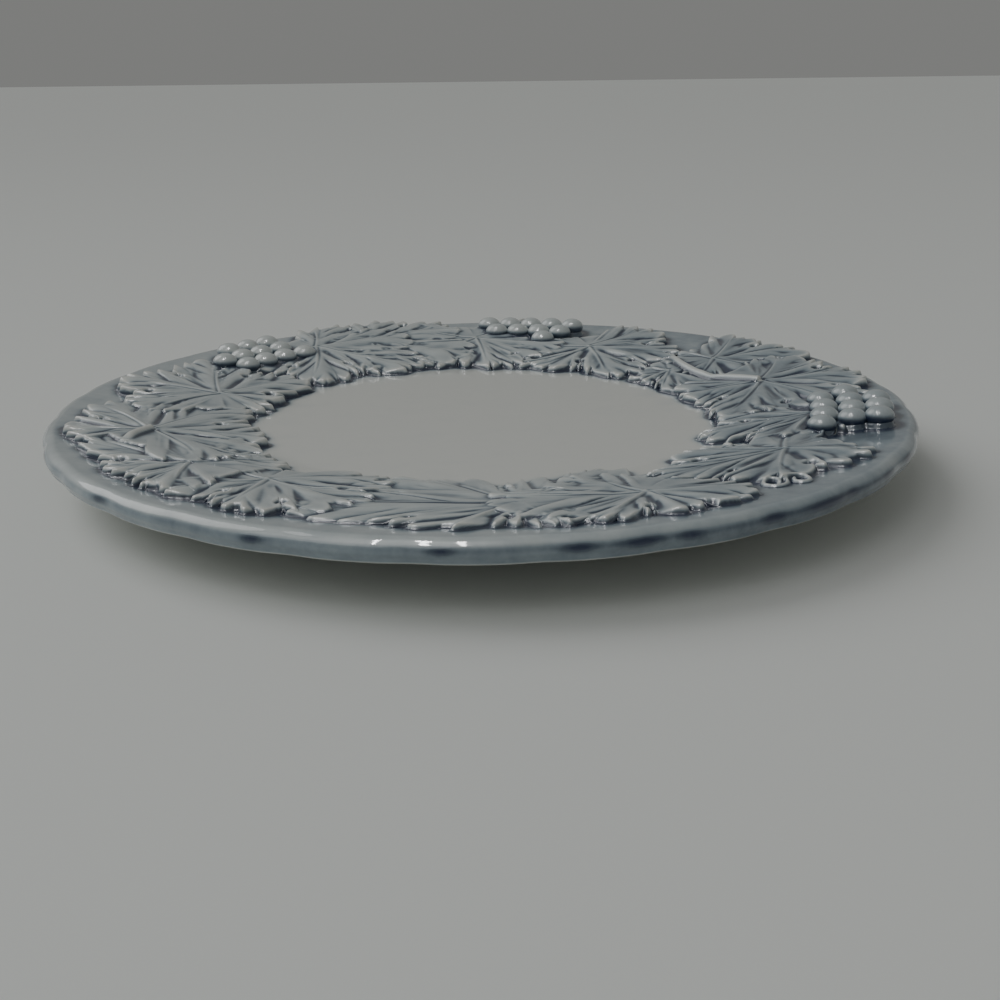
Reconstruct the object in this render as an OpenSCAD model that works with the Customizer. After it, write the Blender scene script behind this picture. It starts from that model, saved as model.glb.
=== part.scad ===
// Earthenware side plate with a wreath of vine leaves and grapes laid on its rim.
// Millimetres, +Z up. The origin is the middle of the foot, on the table.

/* [Plate] */
// Diameter over the rolled edge
plate_d = 210; // [196:1:230]
// Radius of the flat floor of the well
well_r = 56; // [50:0.5:60]
// Height of the well floor above the table
floor_top = 11; // [9:0.5:14]
// Thickness of the floor
floor_t = 5.5; // [4:0.5:7]
// Slope of the rim, in degrees
rim_slope = 6.2; // [4:0.1:9]

/* [Edge] */
// Radius of the rolled edge
bead_r = 2.6; // [2:0.1:3.4]
// Number of thumbed dents round the edge
dents = 28; // [16:4:36]
// Depth of a dent
dent_depth = 0.6; // [0.2:0.05:0.8]
// Radius of the curve of a dent
dent_r = 30; // [20:1:40]
// Radius of the groove under the widest line of the edge
groove_r = 1; // [0.6:0.1:1.4]
// Depth of that groove
groove_depth = 0.3; // [0.1:0.05:0.5]

/* [Foot] */
// Outer radius of the foot ring on the table
foot_r = 62; // [54:0.5:68]
// Width of the foot ring on the table
foot_w = 5; // [3:0.5:8]
// How far each side of the foot ring leans out towards the plate
foot_draft = 1.2; // [0.5:0.1:2]
// Bevel on the edges of the foot ring
foot_bevel = 0.6; // [0.2:0.1:1]

/* [Leaves] */
// Thickness of the lowest leaf at its margin
leaf_t = 1.2; // [0.8:0.1:2]
// Extra thickness at the margin for each layer that a leaf lies higher
layer_step = 0.2; // [0.1:0.05:0.3]
// Rise of a leaf from its margin to its middle
leaf_crown = 1; // [0.4:0.1:1.6]
// Height of the folds that run out to the teeth
fold = 0.7; // [0.2:0.1:1]
// Depth of a tooth, as a share of the leaf's reach there
tooth_depth = 0.1; // [0.05:0.01:0.18]
// Plain band of the rim left outside the leaves
band_w = 4.6; // [3.5:0.1:8]
// How far leaf tips may lap over the edge of the well
well_lap = 2; // [0:0.5:4]
// Clear joint between pieces that lie side by side
joint_gap = 0.15; // [0.05:0.05:0.3]

/* [Grapes] */
// Radius of a grape
grape_r = 3.5; // [2.8:0.1:4]
// Height of a grape's centre above the rim
grape_up = 1.4; // [0.8:0.1:2]
// Thickness of the bed that holds a bunch together
bed_t = 1.5; // [1:0.1:2]
// How far the bed reaches outside each grape
bed_margin = 1.1; // [0.8:0.1:1.5]

/* [Stalks] */
// Width of a leaf stalk
stalk_w = 2.8; // [2:0.1:4]
// Height of a leaf stalk above the rim
stalk_h = 3.3; // [2.4:0.1:4]
// Width of the tendril
tendril_w = 1.2; // [0.8:0.1:1.6]
// Height of the tendril above the rim
tendril_h = 1.4; // [0.8:0.1:2]
// Outer radius of each curl of the tendril
curl_r = 3.4; // [2.8:0.1:4.2]

/* [Hidden] */

plate_r = plate_d / 2;
bead_mid_r = plate_r - bead_r;
bead_mid_z = rim_z(bead_mid_r) - bead_r / cos(rim_slope);
under_z = floor_top - floor_t;
wreath_out = plate_r - band_w;
wreath_in = well_r - well_lap;
wreath_w = wreath_out - wreath_in;
cut_h = 2 * (floor_top + plate_r);

// The wreath is drawn on a ring one unit wide round a hole of this radius, and is then fitted to the rim.
wreath_hole = 1.164;

// A vine leaf: five lobes, by bearing from the main lobe, half width, count of teeth and reach at the slit
// on either side. Reach is a share of the leaf's length.
lobe_mid = [-115, -53, 0, 53, 115];
lobe_half = [35, 27, 26, 27, 35];
lobe_teeth = [7, 5, 5, 5, 7];
slit_reach = [0.2, 0.55, 0.62, 0.62, 0.55, 0.2];
side_reach = 0.88;
heel_reach = 0.1;
lobe_round = 0.45;
limit_power = 12;
limit_tooth = 0.07;
leaf_rings = [0.3, 0.65, 1];

// Each leaf: name, place of its stalk joint round the rim in degrees and across the ring, bearing of the main
// lobe, length in units of the ring, width as a share, reach of the two lobes at the stalk, layer.
leaves = [
    ["leaf_left", 199, 0.575, 70, 0.733, 1, 0.9, 8],
    ["leaf_left_back", 169, 0.335, 107, 0.69, 1, 0.75, 9],
    ["leaf_back_left_inner", 127.5, 0.61, -24, 0.711, 1, 0.82, 7.6],
    ["leaf_back_left", 114.5, 0.65, -22, 0.69, 1, 0.82, 7.4],
    ["leaf_back", 92, 0.55, -78, 0.668, 1, 0.8, 7.2],
    ["leaf_back_right", 65, 0.435, -78, 0.603, 1.1, 0.82, 7],
    ["leaf_right_back", 35, 0.55, 5.5, 0.68, 1, 0.45, 6],
    ["leaf_right_back_small", 37, 0.23, -104, 0.517, 0.75, 0.5, 5],
    ["leaf_right", 14, 0.46, -57, 0.711, 1, 0.72, 8],
    ["leaf_right_small", 347.5, 0.58, 193.5, 0.625, 0.7, 0.7, 7],
    ["leaf_right_front", 324.5, 0.585, 206, 0.69, 0.7, 0.75, 6],
    ["leaf_front_right", 293, 0.63, 244.5, 0.733, 1, 0.62, 5],
    ["leaf_front", 275.5, 0.61, 178, 0.93, 1, 0.9, 4],
    ["leaf_front_left", 236, 0.5, 261.5, 0.65, 1, 0.82, 6],
    ["leaf_left_front", 221, 0.585, 150, 0.72, 1, 0.62, 7]
];

// Each bunch: name, middle in degrees, pitch of grapes along the rim, and its rows, each with its distance
// inside the plain band, count of grapes and shift along the row as a share of the pitch. The pitch and the
// distances are in grape diameters.
bunches = [
    ["grapes_back_left", 139, 1, [[2.95, 4, 0], [2.07, 4, 0.5], [1.2, 3, 0]]],
    ["grapes_back", 80.8, 0.94, [[2.95, 1, -0.8], [2.1, 4, 0], [1.25, 5, 0]]],
    ["grapes_right", 347.5, 1.11, [[2.41, 4, 0], [1.5, 4, 0.5], [0.65, 3, 0]]]
];

// Half the width of the widest notch that is bridged over in the pieces above, how far a piece's outline is
// grown before they are cut from it, and half the width of a sliver or a speck that is dropped from what is
// left.
notch_bridge = 1.5;
outline_grow = 1;
sliver = 2;
speck = 0.6;

// Each stalk: name, layer, and points from its free end to its leaf, in degrees round the rim and as places
// across the ring.
stalks = [
    ["stalk_right", 6.5, [[45, 0.47], [38, 0.355], [27.5, 0.315], [20.5, 0.365], [14, 0.46]]],
    ["stalk_left", 7.5, [[206, 0.74], [202.5, 0.66], [199, 0.575]]]
];
stalk_steps = 4;

// The tendril: name, middle of its first curl, bearing from there to the second, turn of each curl.
tendril = ["tendril_front_right", [310, 0.81], 10, 400];
curl_steps = 14;
curl_close = 0.5;

// Facets of the turned body, its rolled edge, its dents, its groove, and the grapes and their bed.
turned_fn = 180;
bead_fn = 48;
dent_fn = 96;
groove_fn = 32;
grape_fn = 32;

function names(rows) = [for (row = rows) row[0]];
function rim_z(r) = floor_top + max(0, r - well_r) * tan(rim_slope);
function around(a, across) = (wreath_in + across * wreath_w) * [cos(a), sin(a)];
function to_rim(q) = q / norm(q) * (wreath_in + (norm(q) - wreath_hole) * wreath_w);
function on_rim(p, up) = [p.x, p.y, rim_z(norm(p)) + up];

// The outline of a leaf in columns, each [bearing, reach share, 1 at a tooth's tip and 0 at a notch].
function lobe_len(i, leaf) = [leaf[6], side_reach, 1, side_reach, leaf[6]][i];
function lobe_column(i, k, leaf) =
    let (u = k / lobe_teeth[i])
    let (slit = slit_reach[u < 0 ? i : i + 1])
    let (tip = k % 2 == 0 ? 1 : 0)
    let (full = slit + (lobe_len(i, leaf) - slit) * pow(cos(90 * u), lobe_round))
    [lobe_mid[i] + lobe_half[i] * u, full * (1 - tooth_depth * (1 - tip)), tip];
function leaf_columns(leaf) = [
    for (i = [0:4])
        for (k = [-lobe_teeth[i] : lobe_teeth[i] - (i < 4 ? 1 : 0)])
            lobe_column(i, k, leaf),
    [180, heel_reach, 0]
];

// Room left on the ring from point p in some direction, where along is p's own length in that direction: to
// its outside and, if the way leads there, to its hole.
function room_out(p, along) = sqrt(along * along - p * p + pow(wreath_hole + 1, 2)) - along;
function rooms(p, along) =
    let (d = along * along - p * p + wreath_hole * wreath_hole)
    concat(room_out(p, along), along < 0 && d > 0 ? [-along - sqrt(d)] : []);
function soft_min(v) = pow([for (x = v) pow(x, -limit_power)] * [for (x = v) 1], -1 / limit_power);
function leaf_joint(leaf) = (wreath_hole + leaf[2]) * [cos(leaf[1]), sin(leaf[1])];
function leaf_reach(leaf, c) =
    let (p = leaf_joint(leaf))
    let (side = [cos(c[0]), leaf[5] * sin(c[0])])
    let (a = leaf[3] + atan2(side.y, side.x))
    let (along = p * [cos(a), sin(a)])
    let (give = 1 - limit_tooth * (1 - c[2]))
    soft_min(concat(leaf[4] * c[1] * norm(side), give * rooms(p, along))) * [cos(a), sin(a)];
function leaf_point(leaf, c, s) = to_rim(leaf_joint(leaf) + s * leaf_reach(leaf, c));
function leaf_outline(leaf) = [for (c = leaf_columns(leaf)) leaf_point(leaf, c, 1)];
function leaf_up(leaf, s, tip) =
    leaf_t + layer_step * (leaf[7] - leaves_low) + leaf_crown * (1 - s * s) + fold * s * (tip - 0.5);
leaves_low = min([for (leaf = leaves) leaf[7]]);

// A smooth run through hand-set points, as a cubic between each pair.
function spread(v, i) = v[max(0, min(len(v) - 1, i))];
function cubic(v, i, t) =
    let (a = spread(v, i - 1), b = spread(v, i), c = spread(v, i + 1), d = spread(v, i + 2))
    b + t / 2 * (c - a + t * (2 * a - 5 * b + 4 * c - d + t * (3 * (b - c) + d - a)));
function smooth_run(v, steps) = [
    for (i = [0 : len(v) - 2])
        for (k = [0 : steps - 1])
            cubic(v, i, k / steps),
    v[len(v) - 1]
];
function stalk_path(row) = smooth_run([for (p = row[2]) around(p[0], p[1])], stalk_steps);

// The tendril's line: out of one curl and into the next, turning the other way.
function curl_in(t) = curl_r - tendril_w / 2 - curl_close * curl_r * t;
function curl_point(mid, a, t) = mid + curl_in(t) * [cos(a), sin(a)];
function tendril_path() =
    let (one = around(tendril[1][0], tendril[1][1]), bearing = tendril[2], turn = tendril[3])
    let (two = one + 2 * curl_in(0) * [cos(bearing), sin(bearing)])
    concat(
        [for (k = [curl_steps : -1 : 0]) curl_point(one, bearing - turn * k / curl_steps, k / curl_steps)],
        [for (k = [1 : curl_steps]) curl_point(two, bearing + 180 - turn * k / curl_steps, k / curl_steps)]
    );

// Sideways unit vector at each point of a path, to the right of the way along it.
function path_side(path, i) =
    let (d = spread(path, i + 1) - spread(path, i - 1))
    [d.y, -d.x] / norm(d);
function strip(path, w) = concat(
    [for (i = [0 : len(path) - 1]) path[i] + path_side(path, i) * w / 2],
    [for (i = [len(path) - 1 : -1 : 0]) path[i] - path_side(path, i) * w / 2]
);

// Section of a stalk or tendril, as shares of its width and height.
ridge = [[0.5, 0], [0.5, 0.55], [0.25, 1], [-0.25, 1], [-0.5, 0.55], [-0.5, 0]];

function bunch_grapes(row) = [
    for (r = row[3])
        let (out = wreath_out - 2 * grape_r * r[0])
        let (step = 2 * grape_r * row[2] / out * 180 / PI)
        for (k = [0 : r[1] - 1])
            let (a = row[1] + (k - (r[1] - 1) / 2 + r[2]) * step)
            out * [cos(a), sin(a)]
];

// A closed skin over rings of points, with a pole at each end. Rings run anticlockwise seen from the first.
module skin(first, rings, last) {
    n = len(rings[0]);
    end = n * len(rings) + 1;
    points = concat([first], [for (ring = rings) each ring], [last]);
    caps = [
        for (i = [0 : n - 1])
            let (j = (i + 1) % n)
            each [[0, 1 + j, 1 + i], [end, end - n + i, end - n + j]]
    ];
    sides = [
        for (k = [0 : len(rings) - 2])
            for (i = [0 : n - 1])
                let (a = 1 + k * n, b = a + n, j = (i + 1) % n)
                each [[a + i, a + j, b + j], [a + i, b + j, b + i]]
    ];
    polyhedron(points, concat(caps, sides));
}

module leaf_solid(leaf) {
    columns = leaf_columns(leaf);
    p = to_rim(leaf_joint(leaf));
    tops = [
        for (s = leaf_rings)
            [for (c = columns) on_rim(leaf_point(leaf, c, s), leaf_up(leaf, s, c[2]))]
    ];
    base = [for (c = columns) on_rim(leaf_point(leaf, c, 1), 0)];
    skin(on_rim(p, leaf_up(leaf, 0, 0)), concat(tops, [base]), on_rim(p, 0));
}

module ridge_solid(path, w, h) {
    rings = [
        for (i = [0 : len(path) - 1])
            let (foot = rim_z(norm(path[i])))
            [
                for (q = ridge)
                    let (p = path[i] + path_side(path, i) * q.x * w)
                    [p.x, p.y, max(foot, rim_z(norm(p))) + q.y * h]
            ]
    ];
    first = on_rim(path[0], h / 2);
    last = on_rim(path[len(path) - 1], h / 2);
    skin(first, rings, last);
}

module bed_outline(row) {
    for (p = bunch_grapes(row))
        translate(p)
            circle(grape_r + bed_margin, $fn = grape_fn);
}

// Keeps of a piece, whose outline is the first child, what no higher piece covers. Slivers and specks that
// would be left are dropped.
module clear_of(layer) {
    intersection() {
        children(1);
        linear_extrude(cut_h)
            intersection() {
                kept(layer)
                    children(0);
                offset(delta = speck + joint_gap)
                    offset(delta = -speck)
                        intersection() {
                            kept(layer)
                                children(0);
                            children(0);
                        }
            }
    }
}

module kept(layer) {
    intersection() {
        uncovered(layer)
            children(0);
        offset(delta = sliver)
            offset(delta = -sliver)
                uncovered(layer)
                    children(0);
    }
}

// The part of an outline, grown a little, that no higher piece covers. Notches between the teeth of a higher
// leaf are bridged.
module uncovered(layer) {
    difference() {
        offset(delta = outline_grow)
            children(0);
        offset(delta = -notch_bridge)
            offset(delta = joint_gap + notch_bridge)
                higher_outlines(layer);
    }
}

// Outlines of the leaves and stalks above a layer, and of the bunches and the tendril, which lie over them
// all.
module higher_outlines(layer) {
    for (leaf = leaves)
        if (leaf[7] > layer)
            polygon(leaf_outline(leaf));
    for (row = stalks)
        if (row[1] > layer)
            polygon(strip(stalk_path(row), stalk_w));
    for (row = bunches)
        bed_outline(row);
    polygon(strip(tendril_path(), tendril_w));
}

// The space over the rim up to a height, used to seat what lies on it.
module over_rim(up) {
    rotate_extrude($fn = turned_fn)
        polygon([
            [wreath_in, rim_z(wreath_in)],
            [well_r, floor_top],
            [plate_r, rim_z(plate_r)],
            [plate_r, rim_z(plate_r) + up],
            [well_r, floor_top + up],
            [wreath_in, rim_z(wreath_in) + up]
        ]);
}

module plate_body() {
    color("gainsboro")
        difference() {
            rotate_extrude($fn = turned_fn) {
                polygon([
                    [0, under_z],
                    [foot_r - foot_w - foot_draft, under_z],
                    [foot_r - foot_w, foot_bevel],
                    [foot_r - foot_w + foot_bevel, 0],
                    [foot_r - foot_bevel, 0],
                    [foot_r, foot_bevel],
                    [foot_r + foot_draft, under_z],
                    [bead_mid_r, bead_mid_z - bead_r],
                    [bead_mid_r, bead_mid_z],
                    [bead_mid_r - bead_r * sin(rim_slope), bead_mid_z + bead_r * cos(rim_slope)],
                    [well_r, floor_top],
                    [0, floor_top]
                ]);
                translate([bead_mid_r, bead_mid_z])
                    circle(bead_r, $fn = bead_fn);
            }
            for (i = [0 : dents - 1])
                rotate((i + 0.5) * 360 / dents)
                    translate([plate_r - dent_depth + dent_r, 0, 0])
                        cylinder(r = dent_r, h = cut_h, $fn = dent_fn);
            rotate_extrude($fn = turned_fn)
                translate([plate_r + groove_r - groove_depth, bead_mid_z - groove_r])
                    circle(groove_r, $fn = groove_fn);
        }
}

module vine_leaf(leaf) {
    color("lightsteelblue")
        clear_of(leaf[7]) {
            polygon(leaf_outline(leaf));
            leaf_solid(leaf);
        }
}

module grape_bunch(row) {
    color("aliceblue") {
        intersection() {
            over_rim(bed_t);
            linear_extrude(cut_h)
                bed_outline(row);
        }
        for (p = bunch_grapes(row))
            intersection() {
                translate(on_rim(p, grape_up))
                    sphere(grape_r, $fn = grape_fn);
                over_rim(2 * grape_r + grape_up);
            }
    }
}

module leaf_stalk(row) {
    color("lavender")
        clear_of(row[1]) {
            polygon(strip(stalk_path(row), stalk_w));
            ridge_solid(stalk_path(row), stalk_w, stalk_h);
        }
}

module tendril_curls() {
    color("lavender")
        ridge_solid(tendril_path(), tendril_w, tendril_h);
}

plate_body();
for (leaf = leaves)
    vine_leaf(leaf);
for (row = bunches)
    grape_bunch(row);
for (row = stalks)
    leaf_stalk(row);
tendril_curls();
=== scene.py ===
"""A glazed side plate whose rim carries a wreath of vine leaves and grapes.

The relief is worked out once, as a map of heights over the plate, by laying the sprigs on the rim from the
lowest to the highest. Each piece is then a grid of points that reads its heights from that map, so that the
pieces meet as they do under one coat of glaze. Lengths are in millimetres until a mesh is made, in metres.
A pair that rise() or fall() takes is where something starts or ends, and the length over which it eases.
"""
from collections import namedtuple

import bpy
import numpy as np
from mathutils import Matrix, Vector


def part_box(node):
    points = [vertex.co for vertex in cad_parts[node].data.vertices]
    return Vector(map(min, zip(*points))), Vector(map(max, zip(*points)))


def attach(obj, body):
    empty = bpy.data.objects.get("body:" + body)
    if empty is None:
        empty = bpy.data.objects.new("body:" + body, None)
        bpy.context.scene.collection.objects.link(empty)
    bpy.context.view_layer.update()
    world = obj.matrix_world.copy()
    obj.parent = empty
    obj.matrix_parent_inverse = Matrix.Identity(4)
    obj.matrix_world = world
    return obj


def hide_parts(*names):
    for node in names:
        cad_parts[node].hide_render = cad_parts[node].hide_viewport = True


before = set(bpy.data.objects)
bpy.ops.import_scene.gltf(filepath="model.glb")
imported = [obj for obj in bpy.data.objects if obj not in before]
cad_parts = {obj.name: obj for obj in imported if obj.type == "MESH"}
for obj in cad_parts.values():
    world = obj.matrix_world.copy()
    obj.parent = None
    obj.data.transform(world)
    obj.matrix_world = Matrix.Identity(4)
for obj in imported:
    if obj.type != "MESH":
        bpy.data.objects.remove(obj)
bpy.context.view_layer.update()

MM = 0.001
BODY = "root"

# The plate
plate_r = min(*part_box("plate_body")[1].xy, *-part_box("plate_body")[0].xy) / MM
well_r = 56.0
floor_top = 11.0
floor_t = 5.5
rim_slope = np.tan(np.radians(6.2))
well_blend = 1.6
bead_r = 2.6
dents = 28
dent_depth = 0.45
dent_width = 4.6
dent_grip = (-2, 3)
groove_drop = 1.0
groove_depth = 0.3
groove_width = 0.5
foot_r = 62.0
foot_w = 5.0
foot_draft = 1.2
foot_bevel = 0.6
bead_mid_r = plate_r - bead_r
bead_mid_z = floor_top + (bead_mid_r - well_r) * rim_slope - bead_r * np.hypot(1, rim_slope)
under_z = floor_top - floor_t

# The wreath, drawn across the rim between these two radii. Grapes and the tendril lie on the top layer.
band_w = 4.6
well_lap = 2.0
wreath_in = well_r - well_lap
wreath_out = plate_r - band_w
wreath_w = wreath_out - wreath_in
top_layer = 20

# A vine leaf's five lobes: bearing, half width in degrees, and reach at the slits between them
lobe_mid = np.array([-115.0, -53.0, 0.0, 53.0, 115.0])
lobe_half = np.array([35.0, 27.0, 26.0, 27.0, 35.0])
lobe_edges = np.array([-80.0, -26.0, 26.0, 80.0])
slit_reach = np.array([0.45, 0.55, 0.62, 0.62, 0.55, 0.45])
side_reach = 0.88
heel_bearing = 150.0
heel_reach = 0.4
lobe_round = 0.3
leaf_grow = 1.06

# What holds a leaf's reach: the well, and a line that lies further out at the back than in front
limit_power = 12
no_limit = 1e3
far_lap = 2.0
far_start = (-10, 40)
near_gap = 2.4
near_start = (20, 40)
near_end = (70, 30)

# The folds that leave the middle line of a lobe at a slant, each of which ends in a tooth
fold_turn = np.radians(32)
fold_pitch = 9.6
pitch_least = 0.85
pitch_spread = 0.3
fold_sway = 0.22
sway_rate = 2.3
sway_phase = 6
side_numbers = 40
tooth_depth = 2.9
tooth_least = 0.5
tooth_lean = 2.0
tooth_round = 0.7
tooth_start = 14
tooth_slit = 0.15

# Each leaf: name, degrees round the rim, place across the wreath, heading, length as a share of the wreath's
# width, width, reach of the lobes at the stalk, layer
Leaf = namedtuple("Leaf", "name degrees across heading length width basal layer")
leaves = [
    Leaf("leaf_left", 199, 0.575, 70, 0.733, 1, 0.9, 8),
    Leaf("leaf_left_back", 169, 0.335, 107, 0.69, 1, 0.75, 9),
    Leaf("leaf_back_left_inner", 127.5, 0.61, -24, 0.711, 1, 0.82, 7.6),
    Leaf("leaf_back_left", 114.5, 0.65, -22, 0.69, 1, 0.82, 7.4),
    Leaf("leaf_back", 92, 0.55, -78, 0.668, 1, 0.8, 7.2),
    Leaf("leaf_back_right", 65, 0.435, -78, 0.603, 1.1, 0.82, 7),
    Leaf("leaf_right_back", 35, 0.55, 5.5, 0.68, 1, 0.45, 6),
    Leaf("leaf_right_back_small", 37, 0.23, -104, 0.517, 0.75, 0.5, 5),
    Leaf("leaf_right", 14, 0.46, -57, 0.711, 1, 0.72, 8),
    Leaf("leaf_right_small", 347.5, 0.58, 193.5, 0.625, 0.7, 0.7, 7),
    Leaf("leaf_right_front", 324.5, 0.585, 206, 0.69, 0.7, 0.75, 6),
    Leaf("leaf_front_right", 293, 0.63, 244.5, 0.733, 1, 0.62, 5),
    Leaf("leaf_front", 275.5, 0.61, 178, 0.93, 1, 0.9, 4),
    Leaf("leaf_front_left", 236, 0.5, 261.5, 0.65, 1, 0.82, 6),
    Leaf("leaf_left_front", 221, 0.585, 150, 0.72, 1, 0.62, 7),
]

# A leaf's plain height
leaf_t = 1.0
layer_step = 0.17
low_layer = 4
leaf_crown = 0.75
tip_lift = 0.8
tip_start = (82, 16)
tip_back = (-10, 50)

# A leaf's detail. Starts and ends along it are shares of the way from its joint to its margin, and those
# across it are shares of half a lobe's width.
fold_h = 0.72
fold_least = 0.35
fold_from = 0.1
fold_spread = 0.5
fold_fade = 0.35
fold_soft = 1.7
fold_steep = 0.55
fold_clear = (0, 3)
slit_clear = (1, 0.25)
notch_h = 0.5
notch_w = 0.45
notch_start = (0.91, 0.09)
rib_h = 0.05
rib_w = 0.3
rib_place = 0.6
rib_start = (0, 0.2)
rib_end = (0.9, 0.3)
wave_h = 0.24
wave_turns = 1.1
wave_start = (0.15, 0.5)
dimple_h = 0.4
dimple_long = 0.07
dimple_wide = 0.15
dimple_share = 0.6
dimple_share_spread = 0.18
dimple_off = 0.35
dimple_off_spread = 0.2
dimple_gain = 2
dimple_rare = 0.6
vein_h = 0.2
vein_w = 0.36
vein_root = 1.15
vein_taper = 0.6
vein_bends = (0.26, 0.18, 0.09, -0.18, -0.26)
vein_ahead = (0.2, 0.3)
vein_end = (0.95, 0.4)
groove_h = 0.2
groove_off = 1.5
lens_h = 0.85
lens_w = 1.15
lens_least = 0.15
lens_start = (0.12, 0.25)
lens_end = (0.9, 0.3)
eyelet_r = 1.15
eyelet_at = 0.97
eyelet_deep = 0.9

# How a sprig lies on what is there
edge_soft = 0.3
edge_round = (0.3, 0.6)
drape_soft = 1.6
drape_over = 0.6
drape_join = 0.09
clear_over = 0.2
relief_top = 4.4

# Each bunch: name, middle in degrees, pitch, and rows of distance inside the plain band, count and shift,
# with lengths in grape diameters
Bunch = namedtuple("Bunch", "name middle pitch rows")
bunches = [
    Bunch("grapes_back_left", 139, 1, [(2.95, 4, 0), (2.07, 4, 0.5), (1.2, 3, 0)]),
    Bunch("grapes_back", 80.8, 0.94, [(2.95, 1, -0.8), (2.1, 4, 0), (1.25, 5, 0)]),
    Bunch("grapes_right", 347.5, 1.11, [(2.41, 4, 0), (1.5, 4, 0.5), (0.65, 3, 0)]),
]
grape_r = 3.5
grape_long = 1.1
grape_flat = 0.8
grape_size = 0.92
grape_vary = 0.05
grape_up = 1.9
grape_heap = 0.45
grape_foot = np.radians(122)
bed_t = 1.3
bed_margin = -0.2
bed_press = 0.7

# Each stalk: name, layer, points in degrees round the rim and places across the wreath
Stalk = namedtuple("Stalk", "name layer points")
stalks = [
    Stalk("stalk_right", 10, [(45, 0.47), (38, 0.355), (27.5, 0.315), (20.5, 0.365), (14, 0.46)]),
    Stalk("stalk_left", 10, [(206, 0.74), (202.5, 0.66), (199, 0.575)]),
]
stalk_w = 2.8
stalk_t = 1.7
stalk_tip = 0.35
stalk_swell = (0, 5)
stalk_ride = 0.9
stalk_sink = 0.3
tendril_name = "tendril_front_right"
tendril_at = (310, 0.81)
tendril_bearing = np.radians(10)
curl_turn = np.radians(400)
curl_r = 3.4
curl_close = 0.5
tendril_w = 1.2
tendril_t = 0.9

# The map of heights, and how far each kind of sprig reaches on it
cell = 0.2
map_half = 106.0
glaze_soft = 0.16
leaf_span = 1.35
leaf_spare = 5
bunch_span = 30
path_spare = 6
ticks = np.arange(-map_half, map_half + cell / 2, cell)
map_x, map_y = np.meshgrid(ticks, ticks)

# The blue wash, from 0 to 1: on leaves and the bare rim, in hollows and creases and less so on ridges, on
# steep walls, and in one line along a leaf. On steep walls it is partly painted shade, and the darkening
# towards the right is painted shade.
leaf_wash = 0.33
rim_wash = 0.37
rim_start = (70, 15)
cover_soft = 1.8
cover_gain = 1.6
# Painted shade: a darker wash towards the right, standing in for light that falls off there
right_painted_shade = 0.16
right_shade_start = (0, 70)
hollow_wash = 1.4
hollow_soft = 1.4
hollow_ridge = 0.2
crease_wash = 2.5
crease_soft = 0.6
crease_ridge = 0.3
# Steep walls get more wash: partly glaze gathered there, partly painted shade under the margins
steep_wash_and_shade = 0.22
steep_start = (0.7, 1.4)
line_leaf = "leaf_front"
line_wash = 0.5
line_off = 0.35
line_w = 0.5
line_bearing = 60
stalk_wash = -0.08
bed_wash = 0.72
grape_wash = 0.2
grape_low_wash = 0.6
grape_low = (1.15, 0.55)

# The wash on the edge, by height over its middle: paler above as a painted sheen, a streak, darker below it
# and a pale lip
edge_wash = 0.46
# Painted sheen: the top of the edge is paler, as a painted reflection of the bright front
painted_sheen = 0.18
sheen_start = (1.0, 0.9)
streak_wash = 0.14
streak_up = 0.65
streak_h = 0.7
streak_even = 0.6
low_wash = 0.07
low_over = 1.5
lip_wash = 0.05
lip_end = (-1.7, 0.5)
under_mid_wash = 0.1
bare_share = 0.35

# Dark dabs of glaze on the edge: degrees round it and length. Those out of sight follow those in front.
edge_dabs = [
    (224, 2.6), (247, 2.4), (266.5, 2.6), (280, 2.8), (286.5, 4.0), (291.5, 2.2), (302, 2.8),
    (310, 5.5), (315, 2.6), (323.5, 2.6), (331.5, 2.2), (345, 2.5), (8, 3.0), (27, 2.4), (41, 4.5), (60, 2.6),
    (84, 2.4), (99, 4.0), (118, 2.6), (143, 2.4), (160, 3.6), (181, 2.6), (203, 2.4),
]
dab_wash = 0.45
dab_h = 0.75

# Detail of the grids. Three values are the first, the last and the count.
leaf_columns = 600
leaf_rings = 52
margin_rings = np.array([-3.0, -2.4, -1.8, -1.3, -0.9, -0.6, -0.35, -0.15, 0.05, 0.25, 0.5, 0.85, 1.2])
margin_least = 0.5
skirt_lift = 0.02
skirt_sink = 0.6
cover_sink = 0.15
bed_columns = 240
grape_rings = 20
grape_columns = 44
run_steps = 16
curl_points = 60
sweep_columns = 19
sweep_top = 0.56
sweep_skirt = 0.62
body_columns = 800
floor_rings = (2, 52, 8)
rim_from = 53
rim_rings = 74
rim_end = 0.2
roll_rings = (82, -90, 22)
under_rings = 9
inner_r = 4
inner_rings = 6

# Layout of the pieces' own maps
plan_spread = 0.95
plan_start = 0.04
sweep_spread = 0.94
sweep_start = 0.03
disc_share = 0.47
half_map = 0.5
seam = 0.3
spare_corner = np.array([[0.005, 0.005], [0.02, 0.005], [0.005, 0.02]])

# The glaze: colours by wash, the bare clay, and how the mottle, the roughness and the ripple vary
GLAZE = [
    (0.0, (0.74, 0.755, 0.715)),
    (0.25, (0.56, 0.61, 0.61)),
    (0.5, (0.27, 0.33, 0.37)),
    (0.75, (0.085, 0.118, 0.155)),
    (1.0, (0.02, 0.034, 0.075)),
]
BISCUIT = (0.52, 0.40, 0.29, 1)
cloud_scale = 110
speck_scale = 900
speck_mix = 0.10
pale_mottle = 0.25
under_rough = 0.36
rough_mix = 0.14
bare_rough = 0.5
ripple_scale = 260
ripple_strength = 0.12
ripple_h = 0.0004

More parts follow.
